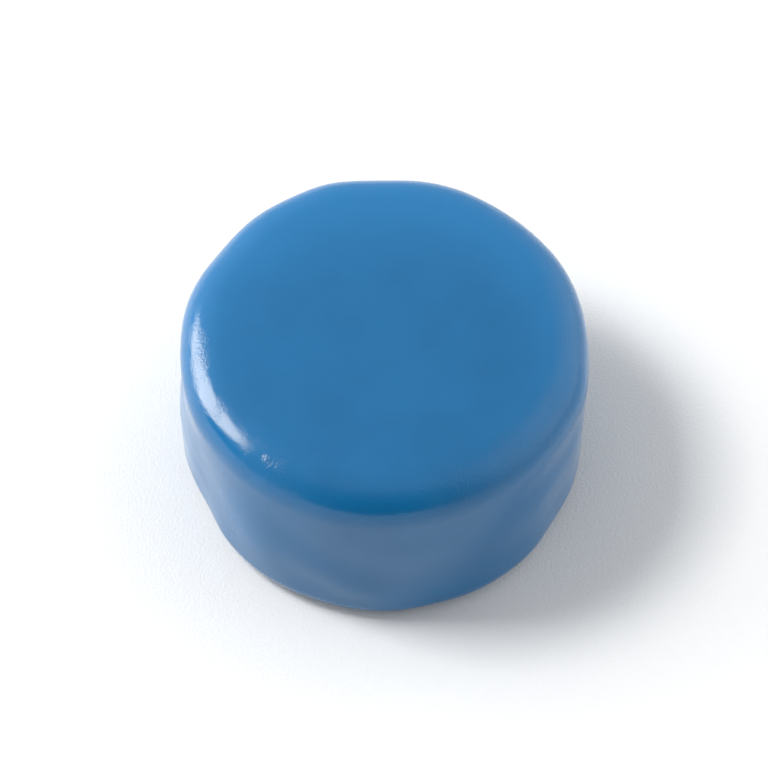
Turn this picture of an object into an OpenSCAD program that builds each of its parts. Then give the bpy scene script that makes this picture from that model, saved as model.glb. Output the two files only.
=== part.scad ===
// A small waxed cheese: a pressed drum of cheese inside two coats of wax.
// Each coat goes on as two half dips. The lower half is dipped first, then the upper half laps
// over it, so the coats part at a sloping lap round the side and the upper half lifts straight off.
// The inside of the wax follows the drum. The outside is hand-dipped, so it swells and dents.
// Frame: origin at the centre of the foot, on the table; +Z up; -Y is the front.

/* [Cheese and wax] */
// Diameter over the wax, before its swells and dents
truckle_d = 80; // [70:1:95]
// Height over the wax
truckle_h = 44.5; // [40:0.5:55]
// Radius of the top edge, outside the wax
top_edge_r = 7.5; // [6:0.5:9]
// Radius of the foot edge, outside the wax
foot_edge_r = 5; // [4:0.5:8]

/* [Coats] */
// Thickness of the clear first coat, which grips the cheese
first_coat_t = 0.5; // [0.4:0.1:1]
// Thickness of the coloured top coat, before its swells and dents
top_coat_t = 1.6; // [1.4:0.1:2]
// How strong the swells and dents are
dip_wave = 1; // [0:0.1:1.2]

/* [Lap] */
// Height of the upper half's thin lower edge, on the outside
lap_z = 19; // [14:0.5:21]
// How far the lap climbs from that edge to the cheese
lap_rise = 6; // [4:0.5:8]
// Gap left where two bodies part
part_gap = 0.03; // [0.02:0.01:0.05]

/* [Hidden] */
$fn = 128;

coats_t = first_coat_t + top_coat_t;
outer_r = truckle_d / 2;
lap_slope = lap_rise / coats_t;
lap_overrun = 0.2;   // how far the lap runs on past the inside of the coats
swell_clear = 2;     // how far the lap runs on past the outside of the coats
below_foot = 5;      // how far the lap's cutting tool runs below the foot

sides = 96;          // facets round the hand-dipped outside
edge_steps = 7;      // facets across a rounded edge
side_steps = 8;      // facets up the straight side

// Swells (+) and dents (-) of the outside: azimuth from +X, spread in degrees,
// then how far each stands out at the top edge and at the foot
swells = [
    [0, 13, -0.3, 0.3],      // right side, leaning out at the foot
    [52, 14, -0.3, 0],       // flattened stretch, back right
    [88, 13, -0.5, 0],       // flat at the back
    [113, 12, 0.4, 0],       // soft corner beside that flat
    [140, 13, -0.2, 0],      // flattened stretch, back left
    [181, 9, -0.2, 1.1],     // wax pooled at the foot, left
    [203, 11, 0.3, -0.9],    // pressed in just above the foot, front left
    [262, 14, 0.3, 0.2],     // full stretch at the front
    [340, 10, 0.5, -0.3]     // full top edge, front right
];

// Angle from b to a, wrapped to -180..180
function turn(a, b) = (a - b + 540) % 360 - 180;

// Smooth 0 at the foot to 1 at the top
function share(z) = let (s = z / truckle_h) s * s * (3 - 2 * s);

// How far one swell stands out at azimuth a and height z
function swell(w, a, z) = (w[2] * share(z) + w[3] * (1 - share(z))) * exp(-pow(turn(a, w[0]) / w[1], 2));

// How far the outside stands out at azimuth a and height z
function dip(a, z) = dip_wave * [for (w = swells) swell(w, a, z)] * [for (w = swells) 1];

// Points [radius, height] of the outside, from the rim of the foot to the rim of the top
function outside_section() = concat(
    [for (i = [0:edge_steps]) let (t = 90 * i / edge_steps)
        [outer_r - foot_edge_r * (1 - sin(t)), foot_edge_r * (1 - cos(t))]],
    [for (i = [1:side_steps - 1])
        [outer_r, foot_edge_r + (truckle_h - foot_edge_r - top_edge_r) * i / side_steps]],
    [for (i = [0:edge_steps]) let (t = 90 * i / edge_steps)
        [outer_r - top_edge_r * (1 - cos(t)), truckle_h - top_edge_r * (1 - sin(t))]]
);

function ring(p) = [for (k = [0:sides - 1]) let (a = 360 * k / sides, r = p[0] + dip(a, p[1]))
    [r * cos(a), r * sin(a), p[1]]];

// The hand-dipped outside as one closed skin, with a flat foot and a flat top
module dipped_skin() {
    section = outside_section();
    last = len(section) - 1;
    points = [for (p = section) each ring(p)];
    foot = [for (k = [0:sides - 1]) k];
    top = [for (k = [sides - 1:-1:0]) last * sides + k];
    walls = [for (i = [0:last - 1], k = [0:sides - 1])
        let (a = i * sides + k, b = i * sides + (k + 1) % sides)
        each [[a, a + sides, b + sides], [a, b + sides, b]]];
    polyhedron(points, concat([foot, top], walls));
}

// Half section of the plain drum, inset from the outside of the wax
module drum_section(inset) {
    r = outer_r - inset;
    top_r = top_edge_r - inset;
    foot_r = foot_edge_r - inset;
    translate([0, inset]) square([r - foot_r, foot_r]);
    translate([r - foot_r, foot_edge_r]) intersection() {
        circle(foot_r);
        translate([0, -foot_r]) square(foot_r);
    }
    translate([0, foot_edge_r]) square([r, truckle_h - top_edge_r - foot_edge_r]);
    translate([r - top_r, truckle_h - top_edge_r]) intersection() {
        circle(top_r);
        square(top_r);
    }
    translate([0, truckle_h - top_edge_r]) square([r - top_r, top_r]);
}

module drum(inset) {
    rotate_extrude() drum_section(inset);
}

// The clear coat, closed all round
module first_coat() {
    difference() {
        drum(top_coat_t);
        drum(coats_t);
    }
}

// The coloured coat, closed all round
module top_coat() {
    difference() {
        dipped_skin();
        drum(top_coat_t);
    }
}

// Everything below the lap, which climbs inwards from lap_z at the outside
module below_lap(raise) {
    far_r = outer_r + swell_clear;
    near_r = outer_r - coats_t - lap_overrun;
    far_z = lap_z + raise - lap_slope * swell_clear;
    near_z = lap_z + raise + lap_slope * (coats_t + lap_overrun);
    rotate_extrude() polygon([
        [0, -below_foot],
        [far_r, -below_foot],
        [far_r, far_z],
        [near_r, near_z],
        [0, near_z]
    ]);
}

module lower_half() {
    intersection() {
        children();
        below_lap(0);
    }
}

module upper_half() {
    difference() {
        children();
        below_lap(part_gap);
    }
}

module cheese() {
    color("khaki") drum(coats_t + part_gap);
}

module lower_first_coat() {
    color("wheat") lower_half() first_coat();
}

module upper_first_coat() {
    color("wheat") upper_half() first_coat();
}

module lower_wax_shell() {
    color("steelblue") lower_half() top_coat();
}

module upper_wax_shell() {
    color("steelblue") upper_half() top_coat();
}

cheese();
lower_first_coat();
upper_first_coat();
lower_wax_shell();
upper_wax_shell();
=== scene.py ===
"""A small waxed cheese: the looks of its wax, its inner coat and its cheese, built round the CAD frame.

Lengths of the cheese are in millimetres until a mesh is made; the studio is in metres. Azimuths are
in degrees from +X, seen from above.
"""

import math
import random

import bpy
import numpy as np
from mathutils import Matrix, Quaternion, Vector, noise


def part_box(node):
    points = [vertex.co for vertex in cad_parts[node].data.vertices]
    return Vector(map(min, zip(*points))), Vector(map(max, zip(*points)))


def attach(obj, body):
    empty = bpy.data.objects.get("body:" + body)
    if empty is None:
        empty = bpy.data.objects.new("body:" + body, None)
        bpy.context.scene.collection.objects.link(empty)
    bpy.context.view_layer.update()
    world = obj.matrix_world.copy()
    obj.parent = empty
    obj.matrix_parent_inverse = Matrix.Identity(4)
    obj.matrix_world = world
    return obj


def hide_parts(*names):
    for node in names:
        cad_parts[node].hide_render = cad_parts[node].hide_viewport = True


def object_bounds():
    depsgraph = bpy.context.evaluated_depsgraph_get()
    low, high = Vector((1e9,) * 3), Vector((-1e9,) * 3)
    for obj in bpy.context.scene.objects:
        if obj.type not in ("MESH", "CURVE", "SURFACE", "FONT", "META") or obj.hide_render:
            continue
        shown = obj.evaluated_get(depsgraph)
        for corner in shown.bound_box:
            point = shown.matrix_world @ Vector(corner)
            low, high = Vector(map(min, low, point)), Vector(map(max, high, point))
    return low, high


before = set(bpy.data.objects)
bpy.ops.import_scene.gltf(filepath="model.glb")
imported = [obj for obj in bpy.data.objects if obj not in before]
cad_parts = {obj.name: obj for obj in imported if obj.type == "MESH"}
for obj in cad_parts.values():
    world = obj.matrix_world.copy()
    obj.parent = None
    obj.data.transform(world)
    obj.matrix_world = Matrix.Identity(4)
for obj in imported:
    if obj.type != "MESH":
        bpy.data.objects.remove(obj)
cad_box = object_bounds()

MM = 0.001


# ---------------------------------------------------------------- sizes, read from the CAD frame

def box_mm(node):
    """(lowest corner, highest corner) of a CAD node, in millimetres."""
    low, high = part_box(node)
    return np.array(low) / MM, np.array(high) / MM


cheese_low, cheese_high = box_mm("cheese")
first_low, first_high = box_mm("lower_first_coat")
upper_first_low = box_mm("upper_first_coat")[0]

HEIGHT = cad_box[1].z / MM
TOP_COAT_T = first_low[2]
FIRST_COAT_T = 0.5
COATS_T = TOP_COAT_T + FIRST_COAT_T
FIRST_R = first_high[0]                # outside of the first coat
OUTER_R = FIRST_R + TOP_COAT_T         # outside of the wax, before its swells
CAVITY_R = FIRST_R - FIRST_COAT_T      # inside of the first coat
CHEESE_R = cheese_high[0]
CHEESE_FOOT_Z = cheese_low[2]
CHEESE_TOP_Z = cheese_high[2]

# The half dips meet on a cone, whose height at radius r is LAP_Z + LAP_SLOPE * (OUTER_R - r)
LAP_SLOPE = (first_high[2] - upper_first_low[2]) / FIRST_COAT_T
LAP_Z = first_high[2] - LAP_SLOPE * COATS_T

# The edges are superellipses: 2 is a true arc, and more gives a softer start and end
EDGE_POWER = 2.3
TOP_EDGE = 8.6
FOOT_EDGE = 5.4
ARC_POWER = 2.0
CAVITY_TOP_EDGE = 5.4
CAVITY_FOOT_EDGE = 2.9


# ---------------------------------------------------------------- the hand-dipped outside

# Swells (+) and dents (-): azimuth, spread in degrees, height at the top edge, height at the foot
SWELLS = [
    (2, 15, -0.1, 0.3),      # right side, leaning out at the foot
    (24, 10, 0.15, 0.0),
    (52, 14, -0.3, 0.0),     # flattened stretch, back right
    (90, 12, -0.8, 0.0),     # flat at the back
    (108, 7, 0.2, 0.0),      # soft corner beside that flat
    (121, 7, -0.15, 0.0),
    (146, 9, -0.5, 0.0),     # flattened stretch, back left
    (167, 10, 0.35, 0.0),
    (183, 10, -0.1, 1.2),    # wax pooled at the foot, left
    (205, 8, 0.3, -0.65),    # pressed in just above the foot, front left
    (258, 14, 0.3, 0.0),     # full rim at the front
    (284, 8, 0.0, -0.3),     # pressed in at the foot, front
    (330, 9, 0.1, -0.55),
    (343, 9, 0.55, 0.0),     # full top edge, front right
]

# Marks on the side: azimuth, height up the side, spread in degrees, spread in height, rise in
# height per degree, and how far it stands out
SIDE_MARKS = [
    (182, 19, 10, 7.0, 0.0, 0.30),       # low bulge half way up, left
    (95, 20, 70, 6.0, 0.0, 0.18),        # thicker belt where the two dips overlap, back
    (185, 32, 12, 4.0, 0.0, -0.35),      # hollow under the rim, left
    (196, 20, 7.0, 10.0, 0.0, 0.24),     # soft upright ridges, front left
    (212, 20, 9.0, 12.0, 0.0, -0.46),
    (233, 18, 10, 12.0, 0.0, 0.72),
    (258, 14.4, 17, 6.0, -0.34, 0.52),   # low roll running down to the foot, front
    (292, 25, 22, 7.0, 0.0, 0.34),       # thicker belt where the two dips overlap, front
    (330, 31, 22, 4.5, 0.0, -0.20),      # soft groove under the rim, front right
    (322, 22, 14, 6.0, 0.0, 0.12),
]

WAVE_HEIGHT, WAVE_LENGTH = 0.16, 17.0        # slow waves left by the dipping
RIPPLE_HEIGHT, RIPPLE_LENGTH = 0.035, 5.5    # short ripples
FLAT_SHARE = 0.35                            # how much of them the flat top keeps
DOME = 0.30                                  # how far the top swells in its middle
DOME_POWER = 4                               # how late the swelling falls off towards the edge

# Each surface draws its own noise: a seed shifts the noise by that many of these steps
SEED_STEP = Vector((7.3, 3.1, 5.7))
WAVE_SEED, RIPPLE_SEED, LUMP_SEED, BEND_SEEDS, OPEN_SEED = 1, 2, 3, (4, 5, 6), 7


def turn(azimuth, middle):
    """Angle from middle to azimuth, wrapped to -180..180."""
    return (azimuth - middle + 180) % 360 - 180


def share_up(z):
    """Smooth 0 at the foot to 1 at the top."""
    s = np.clip(z / HEIGHT, 0, 1)
    return s * s * (3 - 2 * s)


def swell_height(z, azimuth):
    """How far the swells and dents move the wall outwards."""
    total = 0
    for middle, spread, at_top, at_foot in SWELLS:
        bump = np.exp(-(turn(azimuth, middle) / spread) ** 2)
        total = total + bump * (at_top * share_up(z) + at_foot * (1 - share_up(z)))
    return total


def mark_height(z, azimuth):
    """How far the marks on the side stand out."""
    total = 0
    for middle, up, across, tall, slant, out in SIDE_MARKS:
        along = turn(azimuth, middle)
        total = total + out * np.exp(-(along / across) ** 2 - ((z - up - slant * along) / tall) ** 2)
    return total


def smooth_noise(points, length, seed):
    """Perlin noise, about -1 to 1, with features of the given length."""
    offset = SEED_STEP * seed
    values = [noise.noise(Vector(p) + offset) for p in points.reshape(-1, 3) / length]
    return np.array(values).reshape(points.shape[:-1])


def swing(r, z, azimuth):
    """Points at radius r and height z, swung to azimuth."""
    a = np.radians(azimuth)
    return np.stack([r * np.cos(a), r * np.sin(a), z + 0 * a], -1)


def outside(section, azimuth):
    """Points of the dipped outside, from section values (r, z, normal r, normal z) swung to azimuth."""
    r, z, nr, nz = section
    base = swing(r, z, azimuth)
    waves = WAVE_HEIGHT * smooth_noise(base, WAVE_LENGTH, WAVE_SEED)
    waves = waves + RIPPLE_HEIGHT * smooth_noise(base, RIPPLE_LENGTH, RIPPLE_SEED)
    on_wall = nr ** 2
    on_foot = np.clip(-nz, 0, 1) ** 2
    out = mark_height(z, azimuth) * on_wall
    out = out + waves * (FLAT_SHARE + (1 - FLAT_SHARE) * on_wall) * (1 - on_foot)
    near_rim = np.clip(r / (OUTER_R - TOP_EDGE), 0, 1) ** 2
    dome = DOME * (1 - np.clip(r / OUTER_R, 0, 1) ** DOME_POWER) * share_up(z)
    return swing(r + swell_height(z, azimuth) * near_rim + nr * out, z + dome + nz * out, azimuth)


# ---------------------------------------------------------------- sections and their rows

def edge(size, power, steps):
    """Quarter superellipse: (across, up, normal across, normal up), from (size, 0) to (0, size)."""
    t = np.linspace(0, math.pi / 2, steps + 1)
    c, s = np.cos(t).clip(0), np.sin(t)
    reach = (c ** power + s ** power) ** (-1 / power)
    x, y = c * reach, s * reach
    nx, ny = x ** (power - 1), y ** (power - 1)
    length = np.hypot(nx, ny)
    return size * x, size * y, nx / length, ny / length


def foot_edge(r, z, size, power, steps):
    """Section values round a foot edge, from the flat foot out and up to the wall."""
    x, y, nx, ny = edge(size, power, steps)
    return list(zip(r - size + y, z + size - x, ny, -nx))


def top_edge(r, z, size, power, steps):
    """Section values round a top edge, from the wall up and in to the flat top."""
    x, y, nx, ny = edge(size, power, steps)
    return list(zip(r - size + x, z - size + y, nx, ny))


SEAM_ROUNDS = 10         # rounds of the search for the seam, which settles after a few


def lap_height(r):
    return LAP_Z + LAP_SLOPE * (OUTER_R - r)


def ring_azimuths(cells):
    """Azimuths round a ring that has cells columns to a quarter."""
    return np.arange(4 * cells) * 90 / cells


def seam_height(azimuth):
    """Height at which the dipped outside meets the lap cone."""
    z = np.full(azimuth.shape, LAP_Z)
    for _ in range(SEAM_ROUNDS):
        p = outside((OUTER_R, z, 1.0, 0.0), azimuth)
        z = lap_height(np.hypot(p[:, 0], p[:, 1]))
    return z


def wall_rows(z_from, z_to, steps, azimuth):
    """Rows of the outside wall after z_from, up to and including z_to."""
    shares = [(i + 1) / steps for i in range(steps)]
    return [outside((OUTER_R, z_from + (z_to - z_from) * s, 1.0, 0.0), azimuth) for s in shares]


def wall_sections(r, z_from, z_to, steps):
    """Section values of a plain wall, with both ends."""
    return [(r, z_from + (z_to - z_from) * i / steps, 1.0, 0.0) for i in range(steps + 1)]


def line_rows(start, end, steps):
    """Rows on the straight lines from ring start to ring end, without start, with end."""
    return [start + (end - start) * (i + 1) / steps for i in range(steps)]


# ---------------------------------------------------------------- closed meshes

def disc_grid(cells):
    """(share of the radius, azimuth) of a square grid spread over a disc, so that it has no pole."""
    line = np.linspace(-1, 1, cells + 1)
    x, y = np.meshgrid(line, line, indexing="ij")
    wide = np.abs(x) >= np.abs(y)
    reach = np.where(wide, x, y)
    safe = np.where(reach == 0, 1, reach)
    azimuth = np.where(wide, 45 * y / safe, 90 - 45 * x / safe) + np.where(reach < 0, 180, 0)
    return np.abs(reach), azimuth % 360


class Shell:
    """A closed mesh: a cap that faces down, rows of points round the wall, then a cap that faces up.

    Each row is an array (4 * cells, 3), and each cap turns (share of the radius, azimuth) into points.
    The rows run so that up is to the left of outwards: up an outside wall, down an inside wall.
    """

    def __init__(self, name, cells, rows, down_cap, up_cap):
        self.count = 4 * cells
        self.rows = len(rows)
        self.strip_faces = (self.rows - 1) * self.count
        self.cap_faces = cells * cells
        rho, azimuth = disc_grid(cells)
        inside = rho < 1 - 1e-9
        ring = np.round(azimuth / 360 * self.count).astype(int) % self.count
        self.cap_points = int(inside.sum())

        points = list(rows) + [down_cap(rho[inside], azimuth[inside]), up_cap(rho[inside], azimuth[inside])]
        faces = [self.strip(i) for i in range(self.rows - 1)]
        for cap, row in enumerate((0, self.rows - 1)):
            index = row * self.count + ring
            index[inside] = self.rows * self.count + cap * self.cap_points + np.arange(self.cap_points)
            quads = np.stack([index[:-1, :-1], index[1:, :-1], index[1:, 1:], index[:-1, 1:]], -1)
            faces.append(quads.reshape(-1, 4)[:, ::-1] if cap == 0 else quads.reshape(-1, 4))

        self.mesh = bpy.data.meshes.new(name)
        self.mesh.from_pydata((np.concatenate(points) * MM).tolist(), [], np.concatenate(faces).tolist())
        self.mesh.shade_smooth()

    def strip(self, row):
        """The faces between one row and the next."""
        k = np.arange(self.count)
        n = (k + 1) % self.count
        low, high = row * self.count, (row + 1) * self.count
        return np.stack([low + k, low + n, high + n, high + k], 1)

    def sharpen(self, rows):
        """Marks the edges along these rows as sharp."""
        for line in self.mesh.edges:
            a, b = line.vertices
            if a // self.count == b // self.count and a // self.count in rows:
                line.use_edge_sharp = True

    def normals(self):
        """The smooth normal at each vertex."""
        found = np.zeros(len(self.mesh.vertices) * 3, np.float32)
        self.mesh.vertices.foreach_get("normal", found)
        return found.reshape(-1, 3)

    def take_normals(self, normals, faces):
        """Shades the faces where the mask faces is true with the given normal at each vertex."""
        corner = np.zeros(len(self.mesh.loops), np.int32)
        self.mesh.loops.foreach_get("vertex_index", corner)
        chosen = normals[corner]
        chosen[~np.repeat(faces, 4)] = 0
        self.mesh.normals_split_custom_set(chosen.tolist())

    def piece(self, name, body, replaced):
        """The mesh as an object that rides on body and stands for the CAD node replaced."""
        made = bpy.data.objects.new(name, self.mesh)
        bpy.context.scene.collection.objects.link(made)
        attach(made, body)
        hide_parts(replaced)
        return made


# ---------------------------------------------------------------- the two halves of the top coat

SKIN_CELLS = 72          # a quarter of the columns round the wax
FOOT_STEPS, TOP_STEPS = 14, 24
LOW_WALL_STEPS, HIGH_WALL_STEPS = 16, 18
LAP_STEPS = 4
HIDDEN_STEPS = 8         # round an edge that is always covered

skin_az = ring_azimuths(SKIN_CELLS)


def outside_cap(z, nz, edge_size):
    """The flat part of the outside, at the foot or the top."""
    flat_r = OUTER_R - edge_size
    return lambda rho, azimuth: outside((flat_r * rho, z, 0.0, nz), azimuth)


def flat_cap(z, r):
    """A flat disc of radius r."""
    return lambda rho, azimuth: swing(r * rho, z, azimuth)


def skin_rows():
    """Rows of the whole outside from the foot to the top, and the number of the seam row."""
    seam_z = seam_height(skin_az)
    rows = [outside(s, skin_az) for s in foot_edge(OUTER_R, 0, FOOT_EDGE, EDGE_POWER, FOOT_STEPS)]
    rows += wall_rows(FOOT_EDGE, seam_z, LOW_WALL_STEPS, skin_az)
    seam = len(rows) - 1
    rows += wall_rows(seam_z, HEIGHT - TOP_EDGE, HIGH_WALL_STEPS, skin_az)
    rows += [outside(s, skin_az) for s in top_edge(OUTER_R, HEIGHT, TOP_EDGE, EDGE_POWER, TOP_STEPS)[1:]]
    return rows, seam


def drum_rows(inset, azimuth, steps):
    """(rows below the lap, rows above it) on a plain drum set in from the outside of the wax."""
    r = OUTER_R - inset
    top = CAVITY_TOP_EDGE + COATS_T - inset
    foot = CAVITY_FOOT_EDGE + COATS_T - inset
    below = foot_edge(r, inset, foot, ARC_POWER, steps)
    above = top_edge(r, HEIGHT - inset, top, ARC_POWER, steps)
    lap_ring = swing(r, lap_height(r), azimuth)
    below_rows = [swing(s[0], s[1], azimuth) for s in below] + [lap_ring]
    above_rows = [lap_ring] + [swing(s[0], s[1], azimuth) for s in above]
    return below_rows, above_rows


rows, seam = skin_rows()
foot_cap = outside_cap(0.0, -1.0, FOOT_EDGE)
top_cap = outside_cap(HEIGHT, 1.0, TOP_EDGE)
skin = Shell("skin", SKIN_CELLS, rows, foot_cap, top_cap)
skin_normals = skin.normals()
ring_normals = skin_normals[:len(rows) * skin.count]
cap_normals = skin_normals[len(rows) * skin.count:].reshape(2, -1, 3)

hidden_below, hidden_above = drum_rows(TOP_COAT_T, skin_az, HIDDEN_STEPS)
floor_cap = flat_cap(TOP_COAT_T, CAVITY_R - CAVITY_FOOT_EDGE)
ceiling_cap = flat_cap(HEIGHT - TOP_COAT_T, CAVITY_R - CAVITY_TOP_EDGE)


def lower_wax():
    """Outside up from the foot, in over the lap, then down the inside."""
    lap = line_rows(rows[seam], hidden_below[-1], LAP_STEPS)
    half = Shell("lower_wax", SKIN_CELLS, rows[:seam + 1] + lap + hidden_below[-2::-1], foot_cap, floor_cap)
    half.sharpen({seam, seam + LAP_STEPS})
    normals = np.zeros((len(half.mesh.vertices), 3), np.float32)
    outer = (seam + 1) * half.count
    normals[:outer] = ring_normals[:outer]
    first_cap = half.rows * half.count
    normals[first_cap:first_cap + half.cap_points] = cap_normals[0]
    faces = np.zeros(len(half.mesh.polygons), bool)
    faces[:seam * half.count] = True
    faces[half.strip_faces:half.strip_faces + half.cap_faces] = True
    half.take_normals(normals, faces)
    return half.piece("lower_wax", "lower_coat", "lower_wax_shell")


def upper_wax():
    """Down the inside from the ceiling, out over the lap, then up the outside."""
    inside = hidden_above[::-1]
    lap = line_rows(inside[-1], rows[seam], LAP_STEPS)
    half = Shell("upper_wax", SKIN_CELLS, inside + lap + rows[seam + 1:], ceiling_cap, top_cap)
    seam_here = len(inside) - 1 + LAP_STEPS
    half.sharpen({len(inside) - 1, seam_here})
    normals = np.zeros((len(half.mesh.vertices), 3), np.float32)
    ring_end = half.rows * half.count
    normals[seam_here * half.count:ring_end] = ring_normals[seam * half.count:]
    normals[ring_end + half.cap_points:] = cap_normals[1]
    faces = np.zeros(len(half.mesh.polygons), bool)
    faces[seam_here * half.count:half.strip_faces] = True
    faces[half.strip_faces + half.cap_faces:] = True
    half.take_normals(normals, faces)
    return half.piece("upper_wax", "upper_coat", "upper_wax_shell")


# ---------------------------------------------------------------- the cheese and the first coat round it

CHEESE_CELLS, COAT_CELLS = 96, 72        # a quarter of the columns round each
CHEESE_FOOT_STEPS, CHEESE_WALL_STEPS, CHEESE_TOP_STEPS = 8, 52, 14
CAVITY_FOOT_STEPS, CAVITY_LOW_STEPS, CAVITY_HIGH_STEPS, CAVITY_TOP_STEPS = 8, 26, 18, 12

CURD_SIZE = 6.0                              # size of the knitted curds
CURD_WARP, CURD_WARP_LENGTH = 2.2, 7.0       # how far their straight sides are bent
CREASE_DEPTH = 0.15                          # depth of the lines between them
CREASE_WIDTH = 0.10                          # their width, as a share of a curd
OPEN_LENGTH = 11.0                           # distance between open and closed stretches of line
OPEN_SHARE, OPEN_SWING, LEAST_OPEN = 0.6, 1.1, 0.1
LUMP_HEIGHT, LUMP_LENGTH = 0.10, 9.0         # slow unevenness of the pressed face

PIT_COUNT, PIT_SEED = 46, 11
PIT_SIDE_SHARE = 0.6                         # share of the pits that are on the side
PIT_FROM_FOOT, PIT_FROM_TOP = 4, 6           # the side's stretches without pits
PIT_REACH = 0.85                             # how far out the top's pits go, as a share of the radius
PIT_RADII, PIT_DEPTHS = (0.5, 1.5), (0.25, 0.7)

IMPRINT_DEPTH = 0.12                         # how far the curds press into the first coat
IMPRINT_MARGIN = 1.5                         # the stretch beside the lap where that fades out


def crease(points):
    """1 on the open lines between knitted curds, 0 inside a curd and where two curds closed up."""
    bend = np.stack([smooth_noise(points, CURD_WARP_LENGTH, seed) for seed in BEND_SEEDS], -1)
    found = []
    for p in ((points + CURD_WARP * bend) / CURD_SIZE).reshape(-1, 3):
        near = noise.voronoi(Vector(p))[0]
        found.append(math.exp(-((near[1] - near[0]) / CREASE_WIDTH) ** 2))
    open_here = OPEN_SHARE + OPEN_SWING * smooth_noise(points, OPEN_LENGTH, OPEN_SEED)
    return np.array(found).reshape(points.shape[:-1]) * np.clip(open_here, LEAST_OPEN, 1)


def pits():
    """Small openings where curds did not knit: (place, radius, depth)."""
    draw = random.Random(PIT_SEED)
    made = []
    for _ in range(PIT_COUNT):
        azimuth = draw.uniform(0, 360)
        if draw.random() < PIT_SIDE_SHARE:
            z = draw.uniform(CHEESE_FOOT_Z + PIT_FROM_FOOT, CHEESE_TOP_Z - PIT_FROM_TOP)
            place = swing(CHEESE_R, z, np.array(azimuth))
        else:
            reach = CHEESE_R * PIT_REACH * math.sqrt(draw.random())
            place = swing(reach, CHEESE_TOP_Z, np.array(azimuth))
        made.append((place, draw.uniform(*PIT_RADII), draw.uniform(*PIT_DEPTHS)))
    return made


def curd_depth(points):
    """How deep the cheese's skin lies under the plain drum."""
    depth = CREASE_DEPTH * crease(points)
    depth = depth + LUMP_HEIGHT * (0.5 + 0.5 * smooth_noise(points, LUMP_LENGTH, LUMP_SEED))
    for place, radius, deep in pits():
        away = np.linalg.norm(points - place, axis=-1)
        depth = np.maximum(depth, deep * np.exp(-(away / radius) ** 4))
    return depth


def curd(section, azimuth):
    """Points of the cheese's skin, only ever inside the plain drum."""
    r, z, nr, nz = section
    depth = curd_depth(swing(r, z, azimuth))
    return swing(r - nr * depth, z - nz * depth, azimuth)


def make_cheese():
    azimuth = ring_azimuths(CHEESE_CELLS)
    foot = foot_edge(CHEESE_R, CHEESE_FOOT_Z, CAVITY_FOOT_EDGE, ARC_POWER, CHEESE_FOOT_STEPS)
    top = top_edge(CHEESE_R, CHEESE_TOP_Z, CAVITY_TOP_EDGE, ARC_POWER, CHEESE_TOP_STEPS)
    wall = wall_sections(CHEESE_R, foot[-1][1], top[0][1], CHEESE_WALL_STEPS)[1:-1]
    made = [curd(s, azimuth) for s in foot + wall + top]
    foot_r, top_r = CHEESE_R - CAVITY_FOOT_EDGE, CHEESE_R - CAVITY_TOP_EDGE
    body = Shell(
        "pressed_cheese", CHEESE_CELLS, made,
        lambda rho, az: curd((foot_r * rho, CHEESE_FOOT_Z, 0.0, -1.0), az),
        lambda rho, az: curd((top_r * rho, CHEESE_TOP_Z, 0.0, 1.0), az),
    )
    return body.piece("pressed_cheese", "cheese", "cheese")


def imprint(section, azimuth):
    """Points of the first coat's inside, pressed outwards by the curds except at the lap."""
    r, z, nr, nz = section
    base = swing(r, z, azimuth)
    on_wall = nr == 1
    from_lap = abs(z - lap_height(CAVITY_R)) if on_wall else IMPRINT_MARGIN
    depth = IMPRINT_DEPTH * (1 - crease(base)) * min(from_lap / IMPRINT_MARGIN, 1)
    return swing(r + nr * depth, z + nz * depth, azimuth)


def cavity_rows(azimuth):
    """(rows below the lap, rows above it) of the first coat's inside."""
    foot = foot_edge(CAVITY_R, COATS_T, CAVITY_FOOT_EDGE, ARC_POWER, CAVITY_FOOT_STEPS)
    top = top_edge(CAVITY_R, HEIGHT - COATS_T, CAVITY_TOP_EDGE, ARC_POWER, CAVITY_TOP_STEPS)
    lap_z = lap_height(CAVITY_R)
    low = wall_sections(CAVITY_R, foot[-1][1], lap_z, CAVITY_LOW_STEPS)[1:]
    high = wall_sections(CAVITY_R, lap_z, top[0][1], CAVITY_HIGH_STEPS)[:-1]
    return [imprint(s, azimuth) for s in foot + low], [imprint(s, azimuth) for s in high + top]


def first_coats():
    azimuth = ring_azimuths(COAT_CELLS)
    outer_below, outer_above = drum_rows(TOP_COAT_T, azimuth, HIDDEN_STEPS)
    inner_below, inner_above = cavity_rows(azimuth)
    foot_r, top_r = CAVITY_R - CAVITY_FOOT_EDGE, CAVITY_R - CAVITY_TOP_EDGE
    lower = Shell(
        "lower_inner_coat", COAT_CELLS, outer_below + inner_below[::-1],
        flat_cap(TOP_COAT_T, foot_r),
        lambda rho, az: imprint((foot_r * rho, COATS_T, 0.0, -1.0), az),
    )
    lower.sharpen({len(outer_below) - 1, len(outer_below)})
    upper = Shell(
        "upper_inner_coat", COAT_CELLS, inner_above[::-1] + outer_above,
        lambda rho, az: imprint((top_r * rho, HEIGHT - COATS_T, 0.0, 1.0), az),
        flat_cap(HEIGHT - TOP_COAT_T, top_r),
    )
    upper.sharpen({len(inner_above) - 1, len(inner_above)})
    return (lower.piece("lower_inner_coat", "lower_coat", "lower_first_coat"),
            upper.piece("upper_inner_coat", "upper_coat", "upper_first_coat"))


# ---------------------------------------------------------------- materials

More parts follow.
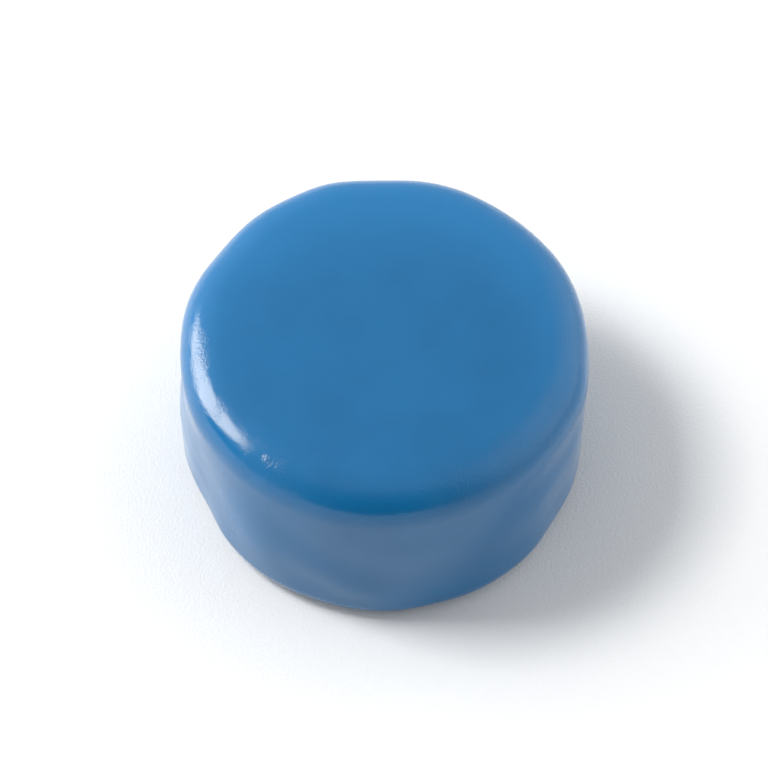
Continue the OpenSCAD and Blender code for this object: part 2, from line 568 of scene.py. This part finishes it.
class Paint:
    """A material's node tree, with short calls for the nodes that the materials here share."""

    def __init__(self, name):
        self.material = bpy.data.materials.new(name)
        self.material.use_nodes = True
        self.tree = self.material.node_tree
        self.surface = self.tree.nodes["Principled BSDF"]
        to_mm = self.node("ShaderNodeVectorMath", operation="SCALE")
        self.feed(to_mm.inputs[0], self.node("ShaderNodeTexCoord").outputs["Object"])
        self.feed(to_mm.inputs["Scale"], 1 / MM)
        self.place = to_mm.outputs[0]        # in millimetres

    def node(self, kind, **settings):
        made = self.tree.nodes.new(kind)
        for key, value in settings.items():
            setattr(made, key, value)
        return made

    def feed(self, socket, value):
        """Links value to the socket where it is another node's output, and sets it where it isn't."""
        if isinstance(value, bpy.types.NodeSocket):
            self.tree.links.new(value, socket)
        else:
            socket.default_value = value

    def noise(self, length, detail=2.0, roughness=0.5):
        """Noise from 0 to 1 with features of the given length in millimetres."""
        made = self.node("ShaderNodeTexNoise")
        self.feed(made.inputs["Vector"], self.place)
        self.feed(made.inputs["Scale"], 1 / length)
        self.feed(made.inputs["Detail"], detail)
        self.feed(made.inputs["Roughness"], roughness)
        return made.outputs["Fac"]

    def cloud(self, length, detail, low=0.0, high=1.0, roughness=0.5):
        """The same noise with more contrast, from low to high."""
        return self.ramp(self.noise(length, detail, roughness), 0.3, 0.7, low, high)

    def distance(self, point, along=(1, 1, 1)):
        """Distance from a point, each axis counted by its share in along."""
        shares = self.node("ShaderNodeVectorMath", operation="MULTIPLY")
        self.feed(shares.inputs[0], self.place)
        self.feed(shares.inputs[1], along)
        made = self.node("ShaderNodeVectorMath", operation="DISTANCE")
        self.feed(made.inputs[0], shares.outputs[0])
        self.feed(made.inputs[1], point)
        return made.outputs["Value"]

    def combine(self, operation, a, b):
        """A sum, difference or product of two values, by the name of Blender's operation."""
        made = self.node("ShaderNodeMath", operation=operation)
        self.feed(made.inputs[0], a)
        self.feed(made.inputs[1], b)
        return made.outputs[0]

    def ramp(self, value, low, high, out_low=0.0, out_high=1.0):
        """value from low..high, smoothly to out_low..out_high."""
        made = self.node("ShaderNodeMapRange", interpolation_type="SMOOTHSTEP")
        for socket, v in zip(made.inputs, (value, low, high, out_low, out_high)):
            self.feed(socket, v)
        return made.outputs["Result"]

    def mix(self, share, a, b):
        """Colour a where share is 0, colour b where it is 1."""
        made = self.node("ShaderNodeMix", data_type="RGBA")
        self.feed(made.inputs["Factor"], share)
        self.feed(made.inputs[6], a)
        self.feed(made.inputs[7], b)
        return made.outputs[2]

    def bump(self, height, depth, normal=None):
        """A bump of the given depth in millimetres, on top of normal where that is given."""
        made = self.node("ShaderNodeBump")
        self.feed(made.inputs["Strength"], 1.0)
        self.feed(made.inputs["Distance"], depth * MM)
        self.feed(made.inputs["Height"], height)
        if normal is not None:
            self.feed(made.inputs["Normal"], normal)
        return made.outputs["Normal"]

    def set(self, name, value):
        """Sets one of the surface's own inputs."""
        self.feed(self.surface.inputs[name], value)


DROP = (-22.1, -28.8, 43.4)     # a small drop of wax standing on the rim, front left
FROM_AXIS = (1, 1, 0)           # counts only the distance across the drum's axis
ALONG_AXIS = (0, 0, 1)          # counts only the distance along it


def grain_strength(paint):
    """Patches round the rim, strongest at the drop, and next to none on the flat top and the wall."""
    patches = paint.ramp(paint.noise(5, 2), 0.4, 0.62, 0.25, 1.0)
    at_drop = paint.ramp(paint.distance(DROP), 0.2, 1.4, 2, 0)
    near_rim = paint.ramp(paint.distance((0, 0, 0), FROM_AXIS), 28, 34, 0.12, 1)
    off_wall = paint.ramp(paint.distance((0, 0, HEIGHT), ALONG_AXIS), 5, 14, 1, 0.05)
    rim = paint.combine("MULTIPLY", near_rim, off_wall)
    return paint.combine("MULTIPLY", paint.combine("ADD", patches, at_drop), rim)


def blue_wax():
    """Pigmented wax, hand-dipped: glossy, with a faint mottle, a fine grain in its shine, and painted light
    that colours it lighter towards the back and round the rim.
    """
    paint = Paint("blue_wax")
    deep, full, light = (0.0015, 0.084, 0.210, 1), (0.0019, 0.093, 0.230, 1), (0.0080, 0.125, 0.299, 1)
    # Painted light: the wax turns to the lighter blue away from a point just in front of the middle,
    # towards the back and round the rim, standing in for the light falling more strongly there.
    painted_light_to_back = paint.ramp(paint.distance((0, -12, 0), FROM_AXIS), 22, 50)
    paint.set("Base Color", paint.mix(painted_light_to_back, paint.mix(paint.cloud(13, 3), deep, full), light))
    paint.set("Roughness", paint.cloud(6, 4, 0.10, 0.16))
    paint.set("IOR", 1.45)
    drop = paint.bump(paint.ramp(paint.distance(DROP), 0, 1.1, 1, 0), 0.10)
    peel = paint.bump(paint.noise(2.8, 2), 0.010, drop)
    grain = paint.combine("SUBTRACT", paint.noise(0.4, 2, 0.6), 0.5)
    paint.set("Normal", paint.bump(paint.combine("MULTIPLY", grain, grain_strength(paint)), 0.095, peel))
    return paint.material


def clear_wax():
    """Uncoloured wax, cream where it is thick."""
    paint = Paint("clear_wax")
    straw, cream = (0.70, 0.58, 0.30, 1), (0.82, 0.74, 0.50, 1)
    paint.set("Base Color", paint.mix(paint.cloud(7, 3), straw, cream))
    paint.set("Roughness", paint.cloud(3, 3, 0.28, 0.42))
    paint.set("IOR", 1.44)
    paint.set("Subsurface Weight", 0.25)
    paint.set("Subsurface Radius", (1.0, 0.8, 0.5))
    paint.set("Subsurface Scale", 0.6 * MM)
    paint.set("Normal", paint.bump(paint.noise(1.1, 3), 0.02))
    return paint.material


def cheese_skin():
    """Pressed curd: pale yellow, cloudy, with painted shade making the open lines and pits darker, a little
    moist.
    """
    paint = Paint("cheese")
    deep, pale = (0.80, 0.57, 0.21, 1), (0.87, 0.67, 0.30, 1)
    white, painted_shade_brown = (0.93, 0.80, 0.48, 1), (0.55, 0.33, 0.08, 1)
    body = paint.mix(paint.cloud(8, 4, roughness=0.6), deep, pale)
    fleck = paint.ramp(paint.noise(1.6, 3, 0.6), 0.55, 0.75, 0, 0.35)
    # Painted shade: hollows such as the open lines and pits are coloured towards the brown, standing in for
    # the shade that falls in them.
    painted_shade_in_hollows = paint.ramp(paint.node("ShaderNodeNewGeometry").outputs["Pointiness"], 0.44, 0.50, 0.9, 0)
    paint.set("Base Color", paint.mix(painted_shade_in_hollows, paint.mix(fleck, body, white), painted_shade_brown))
    paint.set("Roughness", paint.cloud(2.5, 4, 0.38, 0.6))
    paint.set("IOR", 1.40)
    paint.set("Subsurface Weight", 0.35)
    paint.set("Subsurface Radius", (1.0, 0.6, 0.25))
    paint.set("Subsurface Scale", 1.2 * MM)
    paint.set("Normal", paint.bump(paint.noise(0.7, 4, 0.6), 0.05))
    return paint.material


def white_sweep():
    """Matt white card with a faint tooth, with painted shade making it a little greyer close to the cheese.
    """
    paint = Paint("white_sweep")
    # Painted shade: the card's colour is greyer near the cheese and fades to the plain white between 42 and
    # 95 mm from the middle, standing in for the shade round the cheese.
    near, far = (0.615, 0.619, 0.625, 1), (0.71, 0.71, 0.71, 1)
    paint.set("Base Color", paint.mix(paint.ramp(paint.distance((0, 0, 0)), 42, 95), near, far))
    paint.set("Roughness", 0.9)
    paint.set("Specular IOR Level", 0.1)
    paint.set("Normal", paint.bump(paint.noise(0.6, 3, 0.6), 0.12))
    return paint.material


# ---------------------------------------------------------------- floor, light and camera

FLOOR_LEFT, FLOOR_RIGHT = -0.45, 2.0
FLOOR_FRONT, FLOOR_BACK = -0.35, 2.0     # the two near edges end the pale reflection in the side


def make_floor():
    mesh = bpy.data.meshes.new("floor")
    corners = [(FLOOR_LEFT, FLOOR_FRONT, 0), (FLOOR_RIGHT, FLOOR_FRONT, 0),
               (FLOOR_RIGHT, FLOOR_BACK, 0), (FLOOR_LEFT, FLOOR_BACK, 0)]
    mesh.from_pydata(corners, [], [(0, 1, 2, 3)])
    floor = bpy.data.objects.new("floor", mesh)
    floor.data.materials.append(white_sweep())
    bpy.context.scene.collection.objects.link(floor)


def direction(azimuth, elevation):
    a, e = math.radians(azimuth), math.radians(elevation)
    return Vector((math.cos(a) * math.cos(e), math.sin(a) * math.cos(e), math.sin(e)))


def aim(thing, place, target, lean=0.0):
    """Puts thing at place, facing target, and turned about its own axis by lean degrees."""
    thing.location = place
    thing.rotation_mode = "QUATERNION"
    turned = Quaternion((0, 0, 1), math.radians(lean))
    thing.rotation_quaternion = (target - place).to_track_quat("-Z", "Y") @ turned


def soft_box(name, place, target, width, height, power, shape="RECTANGLE", lean=0.0,
             colour=(1, 1, 1), **visible):
    """A soft light; visible_diffuse and visible_glossy say what it acts on."""
    lamp = bpy.data.lights.new(name, "AREA")
    lamp.shape = shape
    lamp.size, lamp.size_y = width, height
    lamp.energy = power
    lamp.color = colour
    box = bpy.data.objects.new(name, lamp)
    for setting, value in visible.items():
        setattr(box, setting, value)
    bpy.context.scene.collection.objects.link(box)
    aim(box, place, target, lean)


# Soft boxes that light matt colour: name, azimuth, elevation, width, height and power in watts
SOFT_BOXES = [
    ("key", 172, 57.5, 0.22, 0.22, 5.3),
    ("left_fill", 165, 18, 0.60, 0.40, 4.4),
    ("right_fill", 20, 8, 1.20, 0.50, 3.7),
    ("front_fill", 262, 16, 1.20, 0.50, 2.2),
]
SOFT_BOX_DISTANCE = 0.8

# The leaning oval panel at the left that shines in the rim, and lights nothing else
PANEL_AZIMUTH, PANEL_DISTANCE, PANEL_LEVEL = 170, 0.72, 0.45
PANEL_WIDTH, PANEL_HEIGHT, PANEL_LEAN = 0.62, 0.82, -30
PANEL_POWER = 16.8
PANEL_COLOUR = (1.0, 0.90, 0.76)


def make_lights(target):
    for name, azimuth, elevation, width, height, power in SOFT_BOXES:
        place = target + direction(azimuth, elevation) * SOFT_BOX_DISTANCE
        soft_box(name, place, target, width, height, power, visible_glossy=False)
    level = Vector((0, 0, PANEL_LEVEL))
    place = level + direction(PANEL_AZIMUTH, 0) * PANEL_DISTANCE
    soft_box("panel", place, level, PANEL_WIDTH, PANEL_HEIGHT, PANEL_POWER, "ELLIPSE", PANEL_LEAN,
             PANEL_COLOUR, visible_diffuse=False)


ROOM_COLOUR = (0.97, 0.985, 1.0, 1)
ROOM_LEVEL = 0.81
ROOM_MATT_SHARE = 0.76       # how much of it lights matt colour; all of it shows in the shine

# Patches of the room: azimuth, elevation, degrees out to where it is full and where it ends, change
ROOM_PATCHES = [
    (10, 25, 18, 56, 0.80),      # white board on the right
    (145, 33, 3, 48, 0.40),      # pale wall behind the soft box
    (266, 16, 5, 62, -0.62),     # dark side of the room, behind the camera
    (264, 10, 2, 36, -0.16),     # its darkest part
    (192, -4, 3, 22, -0.55),     # dark gap under the soft box
]


def make_room():
    """The room's light by direction, as a level and soft round patches; the camera sees plain white."""
    world = bpy.data.worlds.new("room")
    world.use_nodes = True
    bpy.context.scene.world = world
    tree = world.node_tree

    def node(kind, operation=None, **inputs):
        made = tree.nodes.new(kind)
        if operation:
            made.operation = operation
        for name, value in inputs.items():
            socket = made.inputs[int(name[1:])]
            if isinstance(value, bpy.types.NodeSocket):
                tree.links.new(value, socket)
            else:
                socket.default_value = value
        return made

    place = node("ShaderNodeTexCoord").outputs["Generated"]
    level = ROOM_LEVEL
    for azimuth, elevation, inner, outer, change in ROOM_PATCHES:
        towards = node("ShaderNodeVectorMath", "DOT_PRODUCT", _0=place, _1=direction(azimuth, elevation))
        edge_to, full_from = math.cos(math.radians(outer)), math.cos(math.radians(inner))
        patch = node("ShaderNodeMapRange", _0=towards.outputs["Value"], _1=edge_to, _2=full_from,
                     _3=0.0, _4=change)
        patch.interpolation_type = "SMOOTHSTEP"
        level = node("ShaderNodeMath", "ADD", _0=level, _1=patch.outputs["Result"]).outputs[0]
    ray = node("ShaderNodeLightPath").outputs
    share = node("ShaderNodeMix", _0=ray["Is Diffuse Ray"], _2=1.0, _3=ROOM_MATT_SHARE).outputs[0]
    level = node("ShaderNodeMath", "MULTIPLY", _0=level, _1=share).outputs[0]
    strength = node("ShaderNodeMix", _0=ray["Is Camera Ray"], _2=level, _3=1.0).outputs[0]
    back = tree.nodes["Background"]
    back.inputs["Color"].default_value = ROOM_COLOUR
    tree.links.new(strength, back.inputs["Strength"])


CAMERA_ELEVATION = 57.5
CAMERA_DISTANCE = 0.54
CAMERA_LENS = 126.6
CAMERA_RANGE = 0.01, 20
AIM_ABOVE = 1.1 * MM     # the camera aims this far above the middle, across its own view,
AIM_LEFT = 0.1 * MM      # and this far to its left


def make_camera(middle):
    data = bpy.data.cameras.new("camera")
    data.lens = CAMERA_LENS
    camera = bpy.data.objects.new("camera", data)
    bpy.context.scene.collection.objects.link(camera)
    back = direction(-90, CAMERA_ELEVATION)
    up = direction(90, 90 - CAMERA_ELEVATION)
    target = middle + up * AIM_ABOVE - Vector((AIM_LEFT, 0, 0))
    aim(camera, target + back * CAMERA_DISTANCE, target)
    data.clip_start, data.clip_end = CAMERA_RANGE
    bpy.context.scene.camera = camera


# ---------------------------------------------------------------- put together

wax = blue_wax()
for shell in (lower_wax(), upper_wax()):
    shell.data.materials.append(wax)
bpy.data.meshes.remove(skin.mesh)

cream = clear_wax()
for coat in first_coats():
    coat.data.materials.append(cream)

make_cheese().data.materials.append(cheese_skin())

middle = Vector((0, 0, HEIGHT / 2 * MM))
make_floor()
make_lights(middle)
make_room()
make_camera(middle)

bpy.context.scene.view_settings.view_transform = "Standard"
